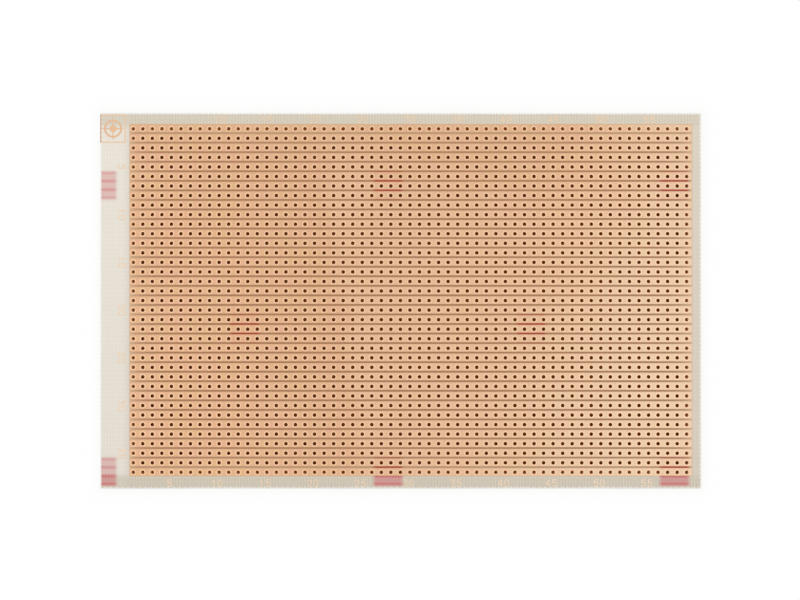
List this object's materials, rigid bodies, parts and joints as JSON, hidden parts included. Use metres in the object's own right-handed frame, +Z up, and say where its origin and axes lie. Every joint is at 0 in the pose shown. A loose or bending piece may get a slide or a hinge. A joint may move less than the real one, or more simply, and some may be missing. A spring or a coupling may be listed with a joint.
{
  "type": "stripboard prototype board",
  "caption": "Drilled glass-epoxy prototype board with parallel copper strips on one side, for soldering through-hole parts.",
  "frame": {"origin": "middle of the bare underside, on the surface that the board lies on", "axes": "+X along the copper strips towards the right edge, +Y across them towards strip 1, +Z up out of the copper side"},
  "size_m": [0.16, 0.1, 0.0016],
  "materials": {
    "laminate": "satin, translucent glass-epoxy with a woven glass texture",
    "copper": "bare copper foil, fine brushed, slightly oxidised"
  },
  "bodies": {
    "root": {"laminate": "laminate", "strip_01": "copper", "strip_02": "copper", "strip_03": "copper", "strip_04": "copper", "strip_05": "copper", "strip_06": "copper", "strip_07": "copper", "strip_08": "copper", "strip_09": "copper", "strip_10": "copper", "strip_11": "copper", "strip_12": "copper", "strip_13": "copper", "strip_14": "copper", "strip_15": "copper", "strip_16": "copper", "strip_17": "copper", "strip_18": "copper", "strip_19": "copper", "strip_20": "copper", "strip_21": "copper", "strip_22": "copper", "strip_23": "copper", "strip_24": "copper", "strip_25": "copper", "strip_26": "copper", "strip_27": "copper", "strip_28": "copper", "strip_29": "copper", "strip_30": "copper", "strip_31": "copper", "strip_32": "copper", "strip_33": "copper", "strip_34": "copper", "strip_35": "copper", "strip_36": "copper", "strip_37": "copper", "top_numbers": "copper", "bottom_numbers": "copper", "left_numbers": "copper", "corner_frame": "copper", "registration_target": "copper"}
  },
  "joints": []
}
